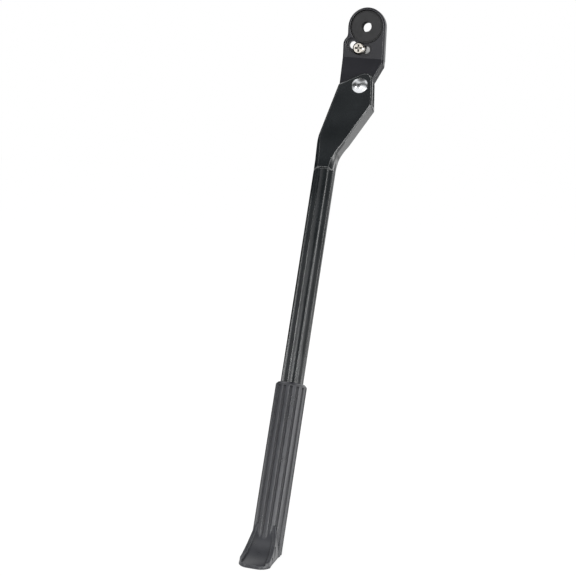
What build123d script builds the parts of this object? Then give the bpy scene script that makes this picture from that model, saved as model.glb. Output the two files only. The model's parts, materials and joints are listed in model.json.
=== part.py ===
from build123d import *
import os
from math import atan2, cos, degrees, radians, sin, sqrt, tan

# Folding kickstand that is clamped under a bicycle's rear quick-release axle.
# Millimetres. The origin is on the axle axis, on the face that lies against the bicycle's frame.
# X points to the bicycle's rear, Y towards the frame, Z up. The leg hangs down and leans outwards.

# Axle bush and its pocket in the head
axle_bore = 6.2
head_radius = 11.75
rim_width = 1.4
pocket_gap = 0.5
pocket_depth = 3.0
flange_sink = 0.3
ledge_width = 0.8
ledge_drop = 0.6
spigot_radius = 6.5
spigot_clearance = 0.05

# Head plate
plate_thickness = 6.0
seat_height = 1.0
seat_gap = 0.5
bend_angle = 19.0
bend_skew = 3.3
bend_margin = 1.4
plate_edge_chamfer = 1.0
lobe_wall = 1.5
lobe_blend = 4.0

# Stop screw, its arc slot and the stop post behind it
screw_diameter = 4.0
screw_head_radius = 3.7
screw_head_height = 2.4
screw_head_chamfer = 0.8
screw_cross_width = 1.1
screw_cross_length = 4.6
screw_cross_depth = 1.3
screw_flange_gap = 0.3
screw_recess_gap = 0.4
screw_slot_clearance = 0.25
slot_span = 39.5
post_radius = 4.4
post_length = 11.0
post_chamfer = 0.8
post_thread_depth = 8.0
screw_end_gap = 0.5
thread_clearance = 0.03

# Tongue of the head and the pivot
pivot_offset = -0.7
pivot_drop = 19.3
rivet_diameter = 6.0
rivet_clearance = 0.05
rivet_head_radius = 5.1
rivet_head_height = 1.9
rivet_tail_radius = 4.4
rivet_tail_height = 1.6
rivet_tail_chamfer = 1.0
washer_radius = 5.6
washer_thickness = 1.0
knuckle_wall = 3.45
relief_angle = 24.3
relief_drop = 3.2
heel_gap = 0.1
heel_inset = 0.7

# Fork and blade of the leg
blade_thickness = 12.0
fork_clearance = 0.1
floor_gap = 2.1
cheek_side_margin = 1.7
cheek_top_margin = 2.8
cheek_top_slope = 27.2
cheek_left_reach = 13.4
cheek_corner_round = 4.8
cheek_heel_round = 1.0
blade_corner_reach = 2.0
blade_corner_drop = 12.6
blade_corner_round = 2.5
blade_right_drop = 45.0
blade_left_drop = 36.5
blade_right_round = 10.0
blade_left_round = 24.0
blade_chamfer = 0.9
blade_left_flare = 220.0
blade_right_flare = 32.0
flare_height = 40.0

# Rod
rod_diameter = 13.6
rod_top_offset = -16.9
rod_top_drop = 54.3
rod_lean = 1.85
rod_length = 216.0
rod_top_chamfer = 0.5
flute_count = 10
flute_depth = 0.6
flute_radius = 6.0
flute_phase = 27.0

# Detent in the blade
fold_angle = 95.0
plunger_diameter = 6.2
plunger_clearance = 0.08
plunger_length = 9.0
plunger_nose = 2.3
plunger_crest_gap = 0.2
plunger_seat_length = 2.5
notch_depth = 0.8
notch_clearance = 0.1
detent_bore_depth = 25.0
spring_wire = 0.9
spring_wall_gap = 0.2
spring_end_gap = 0.05
spring_turns = 3

# Rubber foot
boot_wall = 2.5
boot_clearance = 0.05
boot_top_drop = 132.5
boot_top_chamfer = 1.3
boot_collar = 2.0
boot_rib_count = 15
boot_groove_depth = 0.65
boot_groove_radius = 0.9
boot_groove_phase = -13.6
sole_drop = 231.3
sole_tilt = 20.0
sole_side_tilt = 2.0
toe_reach = 12.5
toe_height = 21.0
toe_thickness = 3.0
toe_tip_round = 7.0
toe_turn = 3.0
toe_root_sink = 0.3
toe_top_width = 12.0
toe_rim_inset = 1.0
toe_scoop_depth = 1.2
toe_scoop_top_width = 9.6
toe_scoop_width = 14.6
toe_groove_count = 2
toe_groove_pitch = 3.6
toe_groove_depth = 0.5
toe_groove_margin = 2.0
toe_width = 19.8

# Sizes that follow from the ones above
pocket_radius = head_radius - rim_width
flange_radius = pocket_radius - pocket_gap
slot_radius = flange_radius + screw_flange_gap + screw_head_radius
recess_radius = screw_head_radius + screw_recess_gap
slot_width = screw_diameter + 2 * screw_slot_clearance
lobe_radius = recess_radius + lobe_wall
lobe_x = -slot_radius * sin(radians(slot_span))
lobe_z = -slot_radius * cos(radians(slot_span))
left_edge = lobe_x - lobe_radius
seat_radius = slot_radius - post_radius - seat_gap
bend_drop = slot_radius + recess_radius + bend_margin
web_thickness = plate_thickness - pocket_depth
front_y = -(seat_height + plate_thickness)
rivet_radius = rivet_diameter / 2
pivot_hole_radius = rivet_radius + rivet_clearance
knuckle_radius = pivot_hole_radius + knuckle_wall
floor_distance = knuckle_radius + floor_gap
rod_radius = rod_diameter / 2
boot_bore_radius = rod_radius + boot_clearance
boot_radius = boot_bore_radius + boot_wall
plunger_radius = plunger_diameter / 2
detent_bore_radius = plunger_radius + plunger_clearance
plunger_tip = knuckle_radius + plunger_crest_gap
spring_radius = detent_bore_radius - spring_wall_gap - spring_wire / 2
toe_root = boot_radius - boot_groove_depth - toe_root_sink
toe_tip = boot_radius + toe_reach
blade_angle = degrees(atan2(-rod_top_offset, rod_top_drop))
blade_sin = sin(radians(blade_angle))
blade_cos = cos(radians(blade_angle))

# Planes of the head: its front face, its back face and the mitre of the bend
head_front = Plane(origin=(0, front_y, 0), x_dir=(1, 0, 0), z_dir=(0, -1, 0))
head_back = head_front.offset(-plate_thickness)
recess_floor = head_front.offset(-pocket_depth)
bend_point = Vector(0, front_y, -bend_drop)
skew = radians(bend_skew)
bend = Axis(bend_point, (cos(skew), 0, -sin(skew)))
bend_up = Vector(sin(skew), 0, cos(skew))
mitre = Plane(origin=bend_point, x_dir=bend.direction, z_dir=bend_up + bend_up.rotate(bend, -bend_angle))

# Plane of the leg: origin at the pivot in the middle of the tongue, x to the rear, y up, z outwards
leg_rear = Vector(1, 0, 0).rotate(bend, -bend_angle)
leg_down = Vector(0, 0, -1).rotate(bend, -bend_angle)
leg_out = Vector(0, -1, 0).rotate(bend, -bend_angle)
pivot_point = bend_point + leg_down * pivot_drop + leg_rear * pivot_offset - leg_out * (plate_thickness / 2)
leg_plane = Plane(origin=pivot_point, x_dir=leg_rear, z_dir=leg_out)

# Planes inside the leg's own: z runs down the rod from its top, and down the detent bore from the pivot
rod_sin = sin(radians(rod_lean))
rod_cos = cos(radians(rod_lean))
rod_plane = Plane(
    origin=(rod_top_offset, -rod_top_drop, 0), x_dir=(0, 0, 1), z_dir=(-rod_sin, -rod_cos, 0)
)
detent_plane = Plane(origin=(0, 0, 0), x_dir=(0, 0, 1), z_dir=(-blade_sin, -blade_cos, 0))


def blade_point(across, along):
    """A point of the leg's plane, from its place across and along the blade's axis."""
    return (across * blade_cos + along * blade_sin, along * blade_cos - across * blade_sin)


def rod_side(drop, side):
    """The rod's left (-1) or right (+1) outline, at a drop below the pivot."""
    axis_x = rod_top_offset - (drop - rod_top_drop) * tan(radians(rod_lean))
    return (axis_x + side * rod_radius / rod_cos, -drop)


def round_corners(face, corners):
    """Round each corner of a face that lies at a given point, by its own radius."""
    for point, radius in corners:
        face = fillet(face.vertices().sort_by_distance((*point, 0))[0], radius)
    return face


def dome(radius, height):
    """Spherical cap that stands on the XY plane, cut from a ball with its poles at the sides."""
    ball_radius = (radius**2 + height**2) / (2 * height)
    ball = Pos(0, 0, height - ball_radius) * Rot(90, 0, 0) * Sphere(ball_radius)
    return ball & extrude(Circle(radius), amount=height)


def arc_slot(width):
    """A slot round the axle, from straight below it to the left."""
    return SlotArc(CenterArc((0, 0), slot_radius, 270 - slot_span, slot_span), width)


def head_outline():
    """Round top, lobe round the end of the slot, and the straight part, which runs on past the bend."""
    end = -(bend_drop + plate_thickness)
    straight = make_face(
        Polyline(
            (left_edge, lobe_z),
            (-head_radius, lobe_z),
            (-head_radius, 0),
            (head_radius, 0),
            (head_radius, end),
            (left_edge, end),
            close=True,
        )
    )
    outline = Circle(head_radius) + Pos(lobe_x, lobe_z) * Circle(lobe_radius) + straight
    return round_corners(outline, [((-head_radius, lobe_z / 2), lobe_blend)])


def tongue_outline():
    """Straight left side, slanted right side, knuckle round the pivot and the heel that stops the leg."""
    top = pivot_drop + plate_thickness
    left = left_edge - pivot_offset
    right = head_radius - pivot_offset
    relief_top = pivot_drop - relief_drop
    relief_end = right - relief_top * tan(radians(relief_angle))
    heel_level = heel_gap - floor_distance
    heel_inner = heel_inset - knuckle_radius
    heel_outer = (left - heel_level * blade_sin) / blade_cos
    sides = make_face(
        Polyline(
            (left, top),
            (right, top),
            (right, relief_top),
            (relief_end, 0),
            blade_point(heel_inner, 0),
            blade_point(heel_inner, heel_level),
            blade_point(heel_outer, heel_level),
            close=True,
        )
    )
    return sides + Circle(knuckle_radius)


def head_bracket():
    """Bent cast plate: head with its pocket, slot and seat, and the tongue that carries the leg."""
    plate = extrude(head_front * head_outline(), amount=-plate_thickness)
    plate = chamfer(plate.faces().sort_by(Axis.Y)[0].edges(), plate_edge_chamfer)
    tongue = extrude(tongue_outline(), amount=plate_thickness / 2, both=True)
    rim = tongue.faces().sort_by(Axis.Z)[-1].edges().filter_by(GeomType.LINE).sort_by(Axis.X)
    tongue = chamfer(rim[:1] + rim[-2:], plate_edge_chamfer)
    body = split(plate, bisect_by=mitre, keep=Keep.TOP)
    body += split(leg_plane * tongue, bisect_by=mitre, keep=Keep.BOTTOM)
    body += extrude(head_back * Circle(seat_radius), amount=-seat_height)
    pocket = Circle(pocket_radius) + arc_slot(2 * recess_radius)
    body -= extrude(head_front * pocket, amount=-pocket_depth)
    body -= extrude(head_front * arc_slot(slot_width), amount=-plate_thickness)
    body -= extrude(recess_floor * Circle(spigot_radius + spigot_clearance), amount=-plate_thickness)
    body -= leg_plane * extrude(Circle(pivot_hole_radius), amount=plate_thickness, both=True)
    notch_place = knuckle_radius - notch_depth + plunger_radius
    for angle in (0, fold_angle):
        notch = Pos(0, -notch_place) * Circle(plunger_radius + notch_clearance)
        cutter = extrude(Rot(0, 0, angle - blade_angle) * notch, amount=plate_thickness, both=True)
        body -= leg_plane * cutter
    return body


def axle_bush():
    """Flanged bush that the axle passes through: stepped flange in front, end flush with the seat."""
    ledge_height = pocket_depth - flange_sink - ledge_drop
    flange = extrude(recess_floor * Circle(flange_radius), amount=ledge_height)
    flange += extrude(recess_floor * Circle(flange_radius - ledge_width), amount=ledge_height + ledge_drop)
    spigot = extrude(recess_floor * Circle(spigot_radius), amount=-(web_thickness + seat_height))
    bore = extrude(head_front * Circle(axle_bore / 2), amount=-(plate_thickness + seat_height))
    return flange + spigot - bore


def stop_plane(plane):
    """A plane of the head, moved to the middle of the arc slot."""
    angle = radians(slot_span / 2)
    middle = (-slot_radius * sin(angle), -slot_radius * cos(angle), 0)
    return plane.shift_origin(plane.from_local_coords(middle))


def stop_screw():
    """Pan-headed screw with a cross recess, through the slot into the post."""
    place = stop_plane(recess_floor)
    head = extrude(place * Circle(screw_head_radius), amount=screw_head_height)
    head = chamfer(head.faces().sort_by(Axis.Y)[0].edges(), screw_head_chamfer)
    shank_length = web_thickness + post_thread_depth - screw_end_gap
    shank = extrude(place * Circle(screw_diameter / 2), amount=-shank_length)
    cross = Rectangle(screw_cross_length, screw_cross_width)
    cross += Rectangle(screw_cross_width, screw_cross_length)
    recess = extrude(place.offset(screw_head_height) * cross, amount=-screw_cross_depth)
    return head + shank - recess


def stop_post():
    """Turned post behind the slot, which bears on the bicycle's frame and keeps the head from turning."""
    place = stop_plane(head_back)
    post = extrude(place * Circle(post_radius), amount=-post_length)
    post = chamfer(post.faces().sort_by(Axis.Y)[-1].edges(), post_chamfer)
    return post - extrude(place * Circle(screw_diameter / 2 + thread_clearance), amount=-post_thread_depth)


def pivot_rivet():
    """Solid rivet: domed head in front, shank through the fork, pressed end on the washer."""
    front = blade_thickness / 2
    back = front + washer_thickness
    tail = extrude(Circle(rivet_tail_radius), amount=-rivet_tail_height)
    tail = chamfer(tail.faces().sort_by(Axis.Z)[0].edges(), rivet_tail_chamfer)
    shank = extrude(Circle(rivet_radius), amount=front + back)
    head = Pos(0, 0, front) * dome(rivet_head_radius, rivet_head_height)
    return leg_plane * (Pos(0, 0, -back) * (tail + shank) + head)


def pivot_washer():
    """Plain washer under the rivet's peened end."""
    ring = Circle(washer_radius) - Circle(pivot_hole_radius)
    return leg_plane.offset(-blade_thickness / 2) * extrude(ring, amount=-washer_thickness)


def blade_outline():
    """Outline of the fork and blade, down to the rod's top."""
    cheek_right = rivet_head_radius + cheek_side_margin
    cheek_height = rivet_head_radius + cheek_top_margin
    slope = tan(radians(cheek_top_slope))
    left_corner = (-cheek_left_reach, cheek_height - cheek_left_reach * slope)
    top_corner = (cheek_right, cheek_height + cheek_right * slope)
    blade_corner = (cheek_right + blade_corner_reach, -blade_corner_drop)
    right_joint = rod_side(blade_right_drop, 1)
    left_joint = rod_side(blade_left_drop, -1)
    right_end = (rod_top_offset + rod_radius * rod_cos, -rod_top_drop - rod_radius * rod_sin)
    left_end = (rod_top_offset - rod_radius * rod_cos, -rod_top_drop + rod_radius * rod_sin)
    outline = make_face(
        Polyline(
            left_corner, top_corner, blade_corner, right_joint, right_end, left_end, left_joint, close=True
        )
    )
    return round_corners(
        outline,
        [
            (left_corner, cheek_heel_round),
            (top_corner, cheek_corner_round),
            (blade_corner, blade_corner_round),
            (right_joint, blade_right_round),
            (left_joint, blade_left_round),
        ],
    )


def flare_outline(flare, side):
    """Section of what is turned off round the rod's top: outside an arc that leaves the rod's round."""
    height = min(flare_height, flare)
    spread = rod_radius + flare - sqrt(flare**2 - height**2)
    middle = rod_radius + flare - sqrt(flare**2 - height**2 / 4)
    return make_face(
        [
            ThreePointArc((side * rod_radius, 0), (side * middle, -height / 2), (side * spread, -height)),
            Polyline(
                (side * spread, -height),
                (side * (spread + blade_thickness), -height),
                (side * (spread + blade_thickness), 0),
                (side * rod_radius, 0),
            ),
        ]
    )


def blade():
    """Flat forked blade with chamfered edges, whose lower end is turned down to the rod's round."""
    half = blade_thickness / 2
    flat = extrude(blade_outline(), amount=half, both=True)
    rims = flat.faces().sort_by(Axis.Z)
    flat = chamfer(rims[0].edges() + rims[-1].edges(), blade_chamfer)
    right_trim = revolve(Plane.XZ * flare_outline(blade_right_flare, -1), Axis.Z, 180)
    left_trim = revolve(Plane.XZ * flare_outline(blade_left_flare, 1), Axis.Z, 180)
    return flat - rod_plane * right_trim - rod_plane * left_trim


def rod():
    """Round rod with shallow flutes all round."""
    bar = extrude(Circle(rod_radius), amount=rod_length)
    bar = chamfer(bar.faces().sort_by(Axis.Z)[0].edges(), rod_top_chamfer)
    flutes = PolarLocations(rod_radius - flute_depth + flute_radius, flute_count, flute_phase)
    cutters = extrude(Sketch() + flutes * Circle(flute_radius), amount=rod_length)
    return rod_plane * (bar - cutters)


def leg():
    """Leg casting: blade and rod, with the fork's slot, the pivot hole and the detent bore."""
    reach = rod_top_drop
    slot_box = Box(2 * reach, reach, plate_thickness + 2 * fork_clearance)
    slot = Rot(0, 0, -blade_angle) * Pos(0, reach / 2 - floor_distance, 0) * slot_box
    fork_floor = detent_plane.offset(floor_distance)
    bore = extrude(fork_floor * Circle(detent_bore_radius), amount=detent_bore_depth)
    hole = extrude(Circle(pivot_hole_radius), amount=blade_thickness, both=True)
    return leg_plane * (blade() + rod() - slot - bore - hole)


def detent_plunger():
    """Plunger with a tapered nose, drawn at the height where the nose clears the knuckle."""
    body = extrude(Circle(plunger_radius), amount=plunger_length)
    body = chamfer(body.faces().sort_by(Axis.Z)[0].edges(), plunger_nose)
    peg_radius = spring_radius - spring_wire / 2 - spring_wall_gap
    body += extrude(Pos(0, 0, plunger_length) * Circle(peg_radius), amount=plunger_seat_length)
    return leg_plane * (detent_plane * (Pos(0, 0, plunger_tip) * body))


def detent_spring():
    """Square-wire compression spring between the plunger and the end of its bore."""
    start = plunger_tip + plunger_length + spring_end_gap + spring_wire / 2
    end = floor_distance + detent_bore_depth - spring_end_gap - spring_wire / 2
    path = Helix(pitch=(end - start) / spring_turns, height=end - start, radius=spring_radius)
    section = Plane(origin=path @ 0, x_dir=(1, 0, 0), z_dir=path % 0) * Rectangle(spring_wire, spring_wire)
    coil = sweep(section, path=path, is_frenet=True)
    return leg_plane * (detent_plane * (Pos(0, 0, start) * coil))


def sole_level(outwards):
    """How far down the rod's axis the sole lies, at a distance outwards from it."""
    return sole_drop + outwards * tan(radians(sole_tilt))


toe_sole = sole_level(toe_tip)
toe_rim_level = toe_sole - toe_thickness
toe_top = toe_rim_level - toe_height
toe_depth = toe_sole + toe_thickness


def toe_slope(drop):
    """Side view of the toe's top, lowered by a drop: an arc that leaves the boot along it."""
    return TangentArc((toe_root, toe_top + drop), (toe_tip, toe_rim_level + drop), tangent=(0, 1))


def toe_flank(side):
    """Front view of the toe's left (-1) or right (+1) side, from its top to below the sole."""
    half = toe_width / 2
    half_top = toe_top_width / 2
    half_rim = half - toe_rim_inset
    slope = 2 * (half_rim - half_top) / toe_height
    return [
        TangentArc((side * half_top, toe_top), (side * half_rim, toe_rim_level), tangent=(side * slope, 1)),
        Polyline((side * half_rim, toe_rim_level), (side * half, toe_sole), (side * half, toe_depth)),
    ]


def toe_scoop():
    """Hollow between the toe's walls, which widens towards its tip."""
    hollow = make_face(
        [
            toe_slope(toe_scoop_depth),
            Polyline(
                (toe_tip, toe_rim_level + toe_scoop_depth),
                (toe_tip, toe_top),
                (toe_root, toe_top),
                (toe_root, toe_top + toe_scoop_depth),
            ),
        ]
    )
    half_top = toe_scoop_top_width / 2
    half_tip = toe_scoop_width / 2
    end = toe_rim_level + toe_scoop_depth
    front = make_face(
        Polyline((-half_top, toe_top), (half_top, toe_top), (half_tip, end), (-half_tip, end), close=True)
    )
    hollow_body = extrude(Plane.XZ * hollow, amount=toe_width, both=True)
    return hollow_body & extrude(Plane.YZ * front, amount=toe_tip)


def toe_groove(out, side):
    """Groove down one flank of the toe from below its rim, at a distance outwards from the rod's axis."""
    reach = toe_tip - toe_root
    bend_radius = (reach**2 + toe_height**2) / (2 * reach)
    rim = toe_top + sqrt(bend_radius**2 - (bend_radius - (out - toe_root)) ** 2)
    level = rim + toe_groove_margin
    share = (level - toe_top) / toe_height
    width = toe_top_width / 2 + share * (toe_width / 2 - toe_rim_inset - toe_top_width / 2)
    lift = boot_groove_radius - toe_groove_depth
    top = Vector(out, side * (width + lift), level)
    bottom = Vector(out, side * (toe_width / 2 + lift), sole_level(out))
    return extrude(Plane(origin=top, z_dir=bottom - top) * Circle(boot_groove_radius), amount=toe_height)


def toe():
    """Toe with a scooped top between two walls, grooved down its flanks."""
    side = make_face(
        [
            toe_slope(0),
            Line((toe_tip, toe_rim_level), (toe_tip, toe_depth)),
            Polyline((toe_tip, toe_depth), (0, toe_depth), (0, toe_top), (toe_root, toe_top)),
        ]
    )
    half_top = toe_top_width / 2
    front = make_face(
        [
            Line((-half_top, toe_top), (half_top, toe_top)),
            *toe_flank(1),
            Line((toe_width / 2, toe_depth), (-toe_width / 2, toe_depth)),
            *toe_flank(-1),
        ]
    )
    plan = Pos(toe_tip / 2, 0) * Rectangle(toe_tip, toe_width)
    plan = fillet(plan.vertices().group_by(Axis.X)[-1], toe_tip_round)
    solid = extrude(Plane.XZ * side, amount=toe_width, both=True)
    solid = solid & extrude(Plane.YZ * front, amount=toe_tip)
    solid = solid & extrude(Pos(0, 0, toe_top) * plan, amount=toe_depth - toe_top)
    solid -= toe_scoop()
    for number in range(toe_groove_count):
        for flank in (-1, 1):
            solid -= toe_groove(toe_root + (number + 0.5) * toe_groove_pitch, flank)
    return Rot(0, 0, toe_turn) * solid


def rubber_foot():
    """Ribbed boot pushed on the rod, with a toe outwards and a slanted sole."""
    length = sole_level(boot_radius) + boot_radius - boot_top_drop
    core = Pos(0, 0, boot_top_drop) * extrude(Circle(boot_radius), amount=length)
    core = chamfer(core.faces().sort_by(Axis.Z)[0].edges(), boot_top_chamfer)
    grooves = PolarLocations(
        boot_radius - boot_groove_depth + boot_groove_radius, boot_rib_count, boot_groove_phase
    )
    cutters = extrude(Sketch() + grooves * Circle(boot_groove_radius), amount=length)
    cutters = Pos(0, 0, boot_top_drop + boot_collar) * cutters
    foot = core - cutters + toe()
    sole = Plane(
        origin=(0, 0, sole_drop), z_dir=(-tan(radians(sole_tilt)), -tan(radians(sole_side_tilt)), 1)
    )
    foot = split(foot, bisect_by=sole, keep=Keep.BOTTOM)
    socket = Pos(0, 0, boot_top_drop) * extrude(
        Circle(boot_bore_radius), amount=rod_length + boot_clearance - boot_top_drop
    )
    return leg_plane * (rod_plane * (foot - socket))


pieces = {
    "head_bracket": head_bracket,
    "axle_bush": axle_bush,
    "stop_screw": stop_screw,
    "stop_post": stop_post,
    "pivot_rivet": pivot_rivet,
    "pivot_washer": pivot_washer,
    "leg": leg,
    "detent_plunger": detent_plunger,
    "detent_spring": detent_spring,
    "rubber_foot": rubber_foot,
}

os.makedirs("parts", exist_ok=True)
for name, make in pieces.items():
    export_step(make(), f"parts/{name}.step")
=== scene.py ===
import json
import math
from collections import namedtuple

import bpy
from mathutils import Matrix, Vector


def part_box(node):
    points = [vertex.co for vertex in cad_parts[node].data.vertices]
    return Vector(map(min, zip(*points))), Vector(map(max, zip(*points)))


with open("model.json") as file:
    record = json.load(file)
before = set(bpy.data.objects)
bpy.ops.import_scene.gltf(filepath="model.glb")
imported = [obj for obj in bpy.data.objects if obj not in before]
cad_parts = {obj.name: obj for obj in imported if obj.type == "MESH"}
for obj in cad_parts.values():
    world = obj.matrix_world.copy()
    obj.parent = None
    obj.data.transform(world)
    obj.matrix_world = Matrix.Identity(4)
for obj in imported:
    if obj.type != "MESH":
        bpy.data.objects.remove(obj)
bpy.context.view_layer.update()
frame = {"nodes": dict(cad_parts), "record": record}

# Lengths are in metres and angles in degrees. Azimuth 0 is straight in front of the stand and 90 is
# to its right.
MM_PER_METRE = 1000.0

# Camera at the photograph's viewing angle.
CAMERA_AZIMUTH = 15.43
CAMERA_ELEVATION = 7.28
CAMERA_ROLL = 2.29
CAMERA_EYE = Vector((0.1350, -0.6546, -0.0810))
CAMERA_SENSOR_MM = 36.0
CAMERA_LENS_MM = 64.94
CAMERA_NEAR = 0.01

# Lamps, all at one distance from the point that they aim at. Only mirrored ones show in reflections.
AIM = Vector((-0.01, -0.04, -0.15))
LAMP_DISTANCE = 1.7
Lamp = namedtuple("Lamp", "name azimuth elevation width height watts mirrored")
LAMPS = [
    Lamp("key_lamp", 8.0, 15.0, 0.30, 0.45, 2.8, True),
    Lamp("left_lamp", -42.0, 16.0, 0.25, 0.70, 2.0, True),
    Lamp("low_lamp", 58.0, 0.0, 1.95, 0.24, 7.6, True),
    Lamp("right_lamp", 112.0, 1.0, 0.40, 0.60, 3.2, True),
    Lamp("front_lamp", -15.0, 10.0, 0.90, 0.90, 6.0, False),
    Lamp("back_lamp", 170.0, 30.0, 1.20, 1.20, 6.0, False),
]

# Surroundings: the strength that lights matt surfaces, and the darker parts that glossy ones reflect.
# A dark part lies between two azimuths and two elevations, with soft edges of a half width, and takes
# a share of the light away.
WORLD_FILL = 0.55
DarkPart = namedtuple("DarkPart", "left right below above edge taken")
DARK_PARTS = [
    DarkPart(-90.0, 8.0, 15.0, 48.0, 12.0, 0.97),
    DarkPart(-160.0, -62.0, -20.0, 20.0, 12.0, 0.50),
    DarkPart(50.0, 95.0, -5.0, 45.0, 12.0, 0.45),
    DarkPart(55.0, 115.0, 9.0, 45.0, 5.0, 0.80),
    DarkPart(-5.0, 60.0, 31.0, 60.0, 4.0, 0.85),
    DarkPart(-200.0, 200.0, 66.0, 120.0, 12.0, 0.88),
]

# Black cards that stand on the floor behind the stand and are seen only in reflections.
Card = namedtuple("Card", "name azimuth distance width height")
CARDS = [
    Card("left_card", -125.0, 1.2, 1.8, 1.0),
    Card("right_card", 148.0, 1.0, 0.45, 0.20),
    Card("low_card", 165.0, 0.4, 0.20, 0.05),
]
CARD_GREY = 0.03

# Floor: its grey for light that falls on the stand, and its glow and fainter grey where it is seen.
FLOOR_HALF = 12.0
FLOOR_GREY = 0.8
FLOOR_GLOW = 0.88
FLOOR_FAINT = 0.22

# Zones of painted highlight on the edges of a coat, which lighten the edges on the side the light falls
# on:
# the heights in the piece where a zone begins and is full, the lit side, the likenesses to that side
# where the highlight begins and is full, the least share of it on other sides, the grey of a
# highlighted edge, and the bends of an edge where the highlight begins and is full.
# The head's zone is full from a height far below the head, so it takes in the whole of it.
Wear = namedtuple("Wear", "begin full side unlike like least grey blunt sharp")
HEAD_EDGE_HIGHLIGHTS = [
    Wear(-1.0, -0.9, (0.7, -0.7, 0.0), 0.72, 0.92, 0.2, 0.35, 0.03, 0.10),
]
LEG_EDGE_HIGHLIGHTS = [
    Wear(-0.094, -0.084, (0.87, -0.5, 0.0), -0.2, 0.6, 0.12, 0.75, 0.03, 0.10),
    Wear(-0.110, -0.175, (-0.40, -0.87, 0.30), 0.55, 0.92, 0.0, 0.85, 0.012, 0.07),
    Wear(-0.100, -0.110, (-0.762, -0.601, 0.227), 0.80, 0.95, 0.0, 0.60, 0.012, 0.07),
]

# Noises are (scale, detail, roughness) and bumps are (strength, distance). A surface's roughness and
# the unevenness of its painted edge highlights are pairs: the values at the low and at the high end of
# a noise.
Coat = namedtuple("Coat", "dark light roughness gloss wear")
HEAD_COAT = Coat((0.012, 0.012, 0.016), (0.016, 0.016, 0.021), (0.30, 0.40), 0.5, HEAD_EDGE_HIGHLIGHTS)
LEG_COAT = Coat((0.009, 0.0115, 0.013), (0.013, 0.016, 0.018), (0.18, 0.25), 0.9, LEG_EDGE_HIGHLIGHTS)
COAT_PATCHES = (60.0, 4.0, 0.5)
COAT_PEEL = (1500.0, 2.0, 0.5)
COAT_BUMP = (0.03, 0.0002)
COAT_EDGE = 0.0006
COAT_UNEVEN = (0.5, 1.0)

DISC_DARK = (0.015, 0.015, 0.016)
DISC_LIGHT = (0.021, 0.021, 0.022)
DISC_PATCHES = (220.0, 3.0, 0.5)
DISC_RINGS = {"Scale": 420.0, "Distortion": 0.6, "Detail": 2.0, "Detail Scale": 3.0}
DISC_ROUGHNESS = (0.34, 0.44)
DISC_GLOSS = 0.42
DISC_BUMP = (0.10, 0.0001)
DISC_EDGE = 0.0003
# The axle lies along Y. The bore is dull up to the first share of its radius, and the disc's face
# begins at the second.
ACROSS_AXLE = (1.0, 0.0, 1.0)
DISC_BORE = (1.01, 1.08)

Plate = namedtuple("Plate", "tint roughness dents bump")
ZINC = Plate((0.28, 0.28, 0.275), (0.26, 0.40), (500.0, 2.0, 0.5), (0.05, 0.0008))
NICKEL = Plate((0.88, 0.83, 0.75), (0.18, 0.28), (700.0, 2.0, 0.5), (0.05, 0.0008))
RIVET = Plate((0.80, 0.82, 0.84), (0.16, 0.24), (330.0, 2.0, 0.5), (0.18, 0.0008))
PLATE_SCRATCHES = (2600.0, 4.0, 0.65)
PLATE_WORN = 0.93
# Painted shade: the share of the tint that is left deep in recesses.
PLATE_RECESS_SHADE = 0.06
PLATE_EDGE = 0.0003
# Painted shade in recesses: how far they are looked for, and how open a place is where the painted
# shade is full or gone.
PLATE_RECESS = 0.0016
PLATE_OPEN = (0.5, 0.9)

RUBBER_DARK = (0.021, 0.0225, 0.028)
RUBBER_LIGHT = (0.034, 0.036, 0.044)
# Painted shade: the colour deep in the rubber's grooves and recesses.
RUBBER_GROOVE_SHADE = (0.012, 0.0125, 0.015)
# Painted highlight: the colour of the toe's lips.
RUBBER_LIP_HIGHLIGHT = (0.11, 0.114, 0.122)
RUBBER_DUST = (130.0, 5.0, 0.6)
RUBBER_GRAIN = (2200.0, 2.0, 0.5)
RUBBER_BUMP = (0.05, 0.0002)
RUBBER_EDGE = 0.0007
RUBBER_ROUGHNESS = (0.26, 0.36)
# Roughness that a groove adds, and the gloss in a groove and in the open.
RUBBER_DULL = 0.35
RUBBER_GLOSS = (0.3, 1.0)
RUBBER_RECESS = 0.0018
RUBBER_OPEN = (0.66, 0.95)
# The toe zone begins below the first height above the ground, and is full below the second. Its
# recesses keep at most half of the painted groove shade, and its lips, the edges between these two
# bends, get a painted highlight.
TOE_HEIGHTS = (0.033, 0.015)
TOE_UNSHADED = 0.5
LIP_BENDS = (0.01, 0.10)

# Places of the two colours on a ramp, and the middle range of a noise.
BLACK_STOPS = (0.35, 0.65)
PLATE_STOPS = (0.3, 0.6)
NOISE_RANGE = (0.3, 0.7)

BEVEL_SAMPLES = 6
RECESS_SAMPLES = 8

# A Mix node has sockets of the same name for each kind of data, so those for colours go by number.
MIX_SHARE = 0
MIX_FIRST = 6
MIX_SECOND = 7
MIX_RESULT = 2


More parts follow.
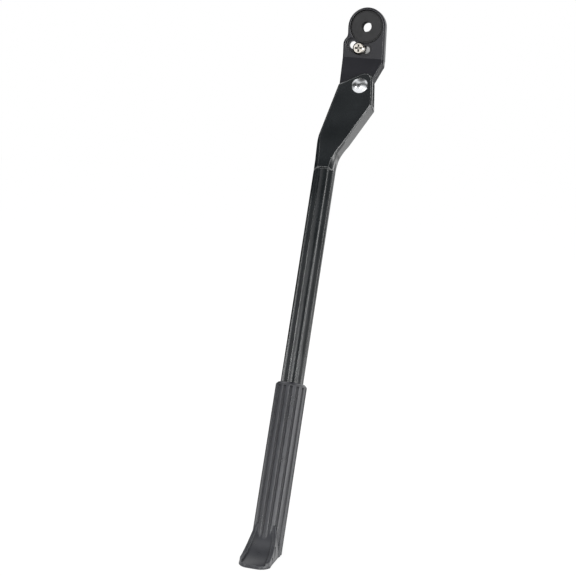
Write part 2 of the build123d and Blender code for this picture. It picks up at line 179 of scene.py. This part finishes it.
class Tree:
    """Short way to build a node tree: add() makes a node and links or sets its inputs."""

    def __init__(self, tree):
        self.tree = tree
        tree.nodes.clear()

    def add(self, kind, inputs=None, **settings):
        node = self.tree.nodes.new(kind)
        for name, value in settings.items():
            setattr(node, name, value)
        for key, value in (inputs or {}).items():
            self.put(node.inputs[key], value)
        return node

    def put(self, socket, value):
        if isinstance(value, bpy.types.NodeSocket):
            self.tree.links.new(value, socket)
        else:
            socket.default_value = value

    def place(self):
        """Place on the surface, in the piece's own frame."""
        return self.add("ShaderNodeTexCoord").outputs["Object"]

    def noise(self, where, scale, detail, rough):
        settings = {"Vector": where, "Scale": scale, "Detail": detail, "Roughness": rough}
        return self.add("ShaderNodeTexNoise", settings).outputs["Fac"]

    def map_range(self, value, start, end, low, high, kind="LINEAR"):
        """Map the range start to end of a value to the range low to high, and hold it beyond."""
        settings = {"Value": value, "From Min": start, "From Max": end, "To Min": low, "To Max": high}
        return self.add("ShaderNodeMapRange", settings, interpolation_type=kind).outputs["Result"]

    def spread(self, noise, low, high):
        """Map a noise's middle range to the range low to high."""
        return self.map_range(noise, *NOISE_RANGE, low, high)

    def between(self, share, low, high):
        """Map 0 to 1 to the range low to high."""
        return self.map_range(share, 0.0, 1.0, low, high)

    def share(self, value, none, full):
        """Map the range none to full of a value to 0 to 1."""
        return self.map_range(value, none, full, 0.0, 1.0)

    def math(self, operation, first, second):
        return self.add("ShaderNodeMath", {0: first, 1: second}, operation=operation).outputs["Value"]

    def times(self, first, second):
        return self.math("MULTIPLY", first, second)

    def vector(self, operation, *vectors):
        return self.add("ShaderNodeVectorMath", dict(enumerate(vectors)), operation=operation).outputs

    def ramp(self, value, places, colours):
        """Colour between two colours at two places of a value."""
        node = self.add("ShaderNodeValToRGB", {"Fac": value})
        for element, place, colour in zip(node.color_ramp.elements, places, colours):
            element.position = place
            element.color = opaque(colour)
        return node.outputs["Color"]

    def blend(self, share, first, second):
        """Mix two colours by a share of the second."""
        node = self.add("ShaderNodeMix", data_type="RGBA")
        self.put(node.inputs[MIX_SHARE], share)
        for key, colour in ((MIX_FIRST, first), (MIX_SECOND, second)):
            linked = isinstance(colour, bpy.types.NodeSocket)
            self.put(node.inputs[key], colour if linked else opaque(colour))
        return node.outputs[MIX_RESULT]

    def bump(self, height, strength, distance, normal):
        settings = {"Height": height, "Strength": strength, "Distance": distance, "Normal": normal}
        return self.add("ShaderNodeBump", settings).outputs["Normal"]

    def rounded(self, radius):
        """Normal that softens edges by a small radius."""
        return self.add("ShaderNodeBevel", {"Radius": radius}, samples=BEVEL_SAMPLES).outputs["Normal"]

    def edges(self, soft, blunt, sharp):
        """0 on flat parts to 1 on edges, where the softened normal leaves the true one."""
        true = self.add("ShaderNodeNewGeometry").outputs["Normal"]
        likeness = self.vector("DOT_PRODUCT", soft, true)["Value"]
        return self.map_range(likeness, 1.0 - sharp, 1.0 - blunt, 1.0, 0.0)

    def facing(self, soft, side, unlike, like):
        """0 to 1 as the surface turns to one side of its own piece."""
        settings = {"vector_type": "NORMAL", "convert_from": "WORLD", "convert_to": "OBJECT"}
        turned = self.add("ShaderNodeVectorTransform", {"Vector": soft}, **settings).outputs["Vector"]
        return self.share(self.vector("DOT_PRODUCT", turned, side)["Value"], unlike, like)

    def level(self, where, none, full):
        """0 at one height of a piece to 1 at another."""
        height = self.add("ShaderNodeSeparateXYZ", {"Vector": where}).outputs["Z"]
        return self.share(height, none, full)

    def openness(self, distance):
        """0 deep in a recess to 1 in the open."""
        settings = {"Distance": distance}
        return self.add("ShaderNodeAmbientOcclusion", settings, samples=RECESS_SAMPLES).outputs["AO"]

    def either_ray(self):
        """1 for what the camera sees itself, in a reflection or through glass."""
        path = self.add("ShaderNodeLightPath")
        seen = path.outputs["Is Camera Ray"]
        for other in ("Is Glossy Ray", "Is Transmission Ray"):
            seen = self.math("MAXIMUM", seen, path.outputs[other])
        return seen

    def matt(self, grey):
        return self.add("ShaderNodeBsdfDiffuse", {"Color": opaque((grey, grey, grey))}).outputs["BSDF"]

    def backdrop(self, strength):
        settings = {"Color": WHITE, "Strength": strength}
        return self.add("ShaderNodeBackground", settings).outputs["Background"]

    def mixed(self, share, first, second):
        """Mix two shaders by a share of the second."""
        return self.add("ShaderNodeMixShader", {0: share, 1: first, 2: second}).outputs["Shader"]

    def output(self, shader):
        self.add("ShaderNodeOutputMaterial", {"Surface": shader})

    def surface(self, inputs):
        self.output(self.add("ShaderNodeBsdfPrincipled", inputs).outputs["BSDF"])


def opaque(colour):
    return (*colour, 1.0)


WHITE = opaque((1.0, 1.0, 1.0))


def new_material(name):
    made = bpy.data.materials.new(name)
    made.use_nodes = True
    return made, Tree(made.node_tree)


def coated_metal(name, coat):
    """Satin black coat on a casting: fine orange peel, uneven gloss, and painted highlights on edges
    facing one side in some zones.
    """
    made, tree = new_material(name)
    where = tree.place()
    patches = tree.noise(where, *COAT_PATCHES)
    peel = tree.noise(where, *COAT_PEEL)
    soft = tree.rounded(COAT_EDGE)
    uneven = tree.spread(patches, *COAT_UNEVEN)
    colour = tree.ramp(patches, BLACK_STOPS, (coat.dark, coat.light))
    # Painted highlights: in some zones, edges that face one side of the piece are lightened towards a
    # grey, standing in for light caught on rounded edges.
    for wear in coat.wear:
        facing = tree.facing(soft, wear.side, wear.unlike, wear.like)
        sided = tree.between(facing, wear.least, 1.0)
        zone = tree.times(tree.level(where, wear.begin, wear.full), sided)
        edge = tree.times(tree.edges(soft, wear.blunt, wear.sharp), uneven)
        colour = tree.blend(tree.times(edge, zone), colour, (wear.grey, wear.grey, wear.grey))
    tree.surface(
        {
            "Base Color": colour,
            "Roughness": tree.spread(patches, *coat.roughness),
            "Specular IOR Level": coat.gloss,
            "Normal": tree.bump(peel, *COAT_BUMP, soft),
        }
    )
    return made


def turned_disc(name, bore_radius):
    """Blackened disc with fine turning rings round the axle, and a dull bore."""
    made, tree = new_material(name)
    where = tree.place()
    settings = {"wave_type": "RINGS", "rings_direction": "Y"}
    rings = tree.add("ShaderNodeTexWave", {"Vector": where, **DISC_RINGS}, **settings).outputs["Fac"]
    patches = tree.noise(where, *DISC_PATCHES)
    flat = tree.vector("MULTIPLY", where, ACROSS_AXLE)["Vector"]
    radius = tree.vector("LENGTH", flat)["Value"]
    dull_to, face_from = (bore_radius * share for share in DISC_BORE)
    inside = tree.map_range(radius, dull_to, face_from, 1.0, 0.0)
    tree.surface(
        {
            "Base Color": tree.ramp(patches, BLACK_STOPS, (DISC_DARK, DISC_LIGHT)),
            "Roughness": tree.math("MAXIMUM", inside, tree.spread(rings, *DISC_ROUGHNESS)),
            "Specular IOR Level": DISC_GLOSS,
            "Normal": tree.bump(rings, *DISC_BUMP, tree.rounded(DISC_EDGE)),
        }
    )
    return made


def bright_metal(name, plate):
    """Plated steel: fine scratches in the gloss, shallow dents, and painted shade darkening its
    recesses.
    """
    made, tree = new_material(name)
    where = tree.place()
    scratches = tree.noise(where, *PLATE_SCRATCHES)
    dents = tree.noise(where, *plate.dents)
    shaded_tint = tuple(PLATE_RECESS_SHADE * channel for channel in plate.tint)
    worn = tuple(PLATE_WORN * channel for channel in plate.tint)
    metal = tree.ramp(scratches, PLATE_STOPS, (worn, plate.tint))
    # Painted shade: deep in recesses the colour darkens to a small share of the tint.
    unshaded = tree.share(tree.openness(PLATE_RECESS), *PLATE_OPEN)
    tree.surface(
        {
            "Base Color": tree.blend(unshaded, shaded_tint, metal),
            "Metallic": 1.0,
            "Roughness": tree.spread(scratches, *plate.roughness),
            "Normal": tree.bump(dents, *plate.bump, tree.rounded(PLATE_EDGE)),
        }
    )
    return made


def moulded_rubber(name, ground):
    """Black rubber: slightly shiny and dusty, with a fine grain, dull grooves darkened by painted
    shade, and painted highlights on the toe's lips.
    """
    made, tree = new_material(name)
    where = tree.place()
    dust = tree.noise(where, *RUBBER_DUST)
    grain = tree.noise(where, *RUBBER_GRAIN)
    soft = tree.rounded(RUBBER_EDGE)
    toe = tree.level(where, *(ground + height for height in TOE_HEIGHTS))
    # Painted shade: grooves and recesses darken, and on the toe they keep at most half of it.
    unshaded = tree.share(tree.openness(RUBBER_RECESS), *RUBBER_OPEN)
    unshaded = tree.math("MAXIMUM", unshaded, tree.between(toe, 0.0, TOE_UNSHADED))
    # Painted highlight: the toe's edges are lightened towards a pale grey.
    lip_highlight = tree.times(tree.edges(soft, *LIP_BENDS), toe)
    colour = tree.ramp(dust, NOISE_RANGE, (RUBBER_DARK, RUBBER_LIGHT))
    colour = tree.blend(unshaded, RUBBER_GROOVE_SHADE, colour)
    dull = tree.between(unshaded, RUBBER_DULL, 0.0)
    tree.surface(
        {
            "Base Color": tree.blend(lip_highlight, colour, RUBBER_LIP_HIGHLIGHT),
            "Roughness": tree.math("ADD", tree.spread(dust, *RUBBER_ROUGHNESS), dull),
            "Specular IOR Level": tree.between(unshaded, *RUBBER_GLOSS),
            "Normal": tree.bump(grain, *RUBBER_BUMP, soft),
        }
    )
    return made


def dress(node, made):
    """Give a node of the frame one material all over."""
    slots = frame["nodes"][node].data.materials
    slots.clear()
    slots.append(made)


def compass(azimuth, elevation):
    """Direction from the stand."""
    across = math.radians(azimuth)
    above = math.radians(elevation)
    out = math.cos(above)
    return Vector((math.sin(across) * out, -math.cos(across) * out, math.sin(above)))


def add_sheet(name, corners, paint):
    """Flat four-cornered sheet of the studio."""
    mesh = bpy.data.meshes.new(name)
    mesh.from_pydata([tuple(corner) for corner in corners], [], [(0, 1, 2, 3)])
    mesh.materials.append(paint)
    sheet = bpy.data.objects.new(name, mesh)
    bpy.context.scene.collection.objects.link(sheet)
    return sheet


def make_floor(level):
    """Floor under the foot: white where it is seen, with the stand's own soft shadow."""
    paint, tree = new_material("floor_paint")
    glow = tree.add("ShaderNodeEmission", {"Color": WHITE, "Strength": FLOOR_GLOW}).outputs["Emission"]
    seen = tree.add("ShaderNodeAddShader", {0: tree.matt(FLOOR_FAINT), 1: glow}).outputs["Shader"]
    tree.output(tree.mixed(tree.either_ray(), tree.matt(FLOOR_GREY), seen))
    near, far = -FLOOR_HALF, FLOOR_HALF
    corners = [(near, near, level), (far, near, level), (far, far, level), (near, far, level)]
    floor = add_sheet("floor", corners, paint)


def make_card(level, place):
    """Black card of a studio, which darkens sides that face away from the camera."""
    paint, tree = new_material(place.name + "_paint")
    tree.output(tree.matt(CARD_GREY))
    away = compass(place.azimuth, 0.0)
    middle = place.distance * away
    half = place.width / 2 * Vector((-away.y, away.x, 0.0))
    foot = Vector((0.0, 0.0, level))
    top = Vector((0.0, 0.0, level + place.height))
    corners = [middle - half + foot, middle + half + foot, middle + half + top, middle - half + top]
    card = add_sheet(place.name, corners, paint)
    card.visible_camera = False
    card.visible_diffuse = False
    card.visible_shadow = False


def inside_part(tree, value, start, end, edge):
    """1 between two angles to 0 outside, with soft edges."""
    first = (math.radians(start - edge), math.radians(start + edge))
    last = (math.radians(end - edge), math.radians(end + edge))
    rise = tree.map_range(value, *first, 0.0, 1.0, "SMOOTHSTEP")
    fall = tree.map_range(value, *last, 1.0, 0.0, "SMOOTHSTEP")
    return tree.times(rise, fall)


def make_world():
    """White to the camera, with a studio's dark parts in reflections, and softer light for the rest."""
    world = bpy.data.worlds.new("studio")
    bpy.context.scene.world = world
    world.use_nodes = True
    tree = Tree(world.node_tree)
    towards = tree.add("ShaderNodeTexCoord").outputs["Generated"]
    parts = tree.add("ShaderNodeSeparateXYZ", {"Vector": towards}).outputs
    azimuth = tree.math("ARCTAN2", parts["X"], tree.times(parts["Y"], -1.0))
    elevation = tree.math("ARCSINE", parts["Z"], 0.0)
    shown = tree.add("ShaderNodeLightPath").outputs["Is Camera Ray"]
    light = None
    for part in DARK_PARTS:
        across = inside_part(tree, azimuth, part.left, part.right, part.edge)
        upwards = inside_part(tree, elevation, part.below, part.above, part.edge)
        kept = tree.between(tree.times(across, upwards), 1.0, 1.0 - part.taken)
        light = kept if light is None else tree.times(light, kept)
    fill = tree.backdrop(WORLD_FILL)
    white = tree.backdrop(tree.math("MAXIMUM", light, shown))
    tree.add("ShaderNodeOutputWorld", {"Surface": tree.mixed(tree.either_ray(), fill, white)})


def make_lamp(place):
    light = bpy.data.lights.new(place.name, "AREA")
    light.shape = "RECTANGLE"
    light.size = place.width
    light.size_y = place.height
    light.energy = place.watts
    lamp = bpy.data.objects.new(place.name, light)
    away = compass(place.azimuth, place.elevation)
    lamp.location = AIM + LAMP_DISTANCE * away
    lamp.rotation_mode = "QUATERNION"
    lamp.rotation_quaternion = (-away).to_track_quat("-Z", "Y")
    lamp.visible_camera = False
    lamp.visible_glossy = place.mirrored
    bpy.context.scene.collection.objects.link(lamp)


def make_camera():
    roll = math.radians(CAMERA_ROLL)
    back = compass(CAMERA_AZIMUTH, CAMERA_ELEVATION)
    level = Vector((0.0, 0.0, 1.0)).cross(back).normalized()
    upright = back.cross(level)
    right = math.cos(roll) * level + math.sin(roll) * upright
    up = -math.sin(roll) * level + math.cos(roll) * upright
    data = bpy.data.cameras.new("camera")
    data.sensor_width = CAMERA_SENSOR_MM
    data.lens = CAMERA_LENS_MM
    data.clip_start = CAMERA_NEAR
    camera = bpy.data.objects.new("camera", data)
    turn = Matrix((right, up, back)).transposed()
    camera.matrix_world = Matrix.Translation(CAMERA_EYE) @ turn.to_4x4()
    bpy.context.scene.collection.objects.link(camera)
    bpy.context.scene.camera = camera


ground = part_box("rubber_foot")[0][2]
axle_hole = next(mount for mount in frame["record"]["mounts"] if mount["name"] == "axle_hole")
zinc = bright_metal("zinc_plate", ZINC)
dress("head_bracket", coated_metal("head_coat", HEAD_COAT))
dress("leg", coated_metal("leg_coat", LEG_COAT))
dress("axle_bush", turned_disc("turned_disc", axle_hole["dims"]["r_mm"] / MM_PER_METRE))
dress("stop_screw", bright_metal("nickel_plate", NICKEL))
dress("pivot_rivet", bright_metal("polished_rivet", RIVET))
for node in ("stop_post", "pivot_washer", "detent_plunger", "detent_spring"):
    dress(node, zinc)
dress("rubber_foot", moulded_rubber("moulded_rubber", ground))

make_floor(ground)
for card in CARDS:
    make_card(ground, card)
make_world()
for lamp in LAMPS:
    make_lamp(lamp)
make_camera()
bpy.context.scene.view_settings.view_transform = "Standard"
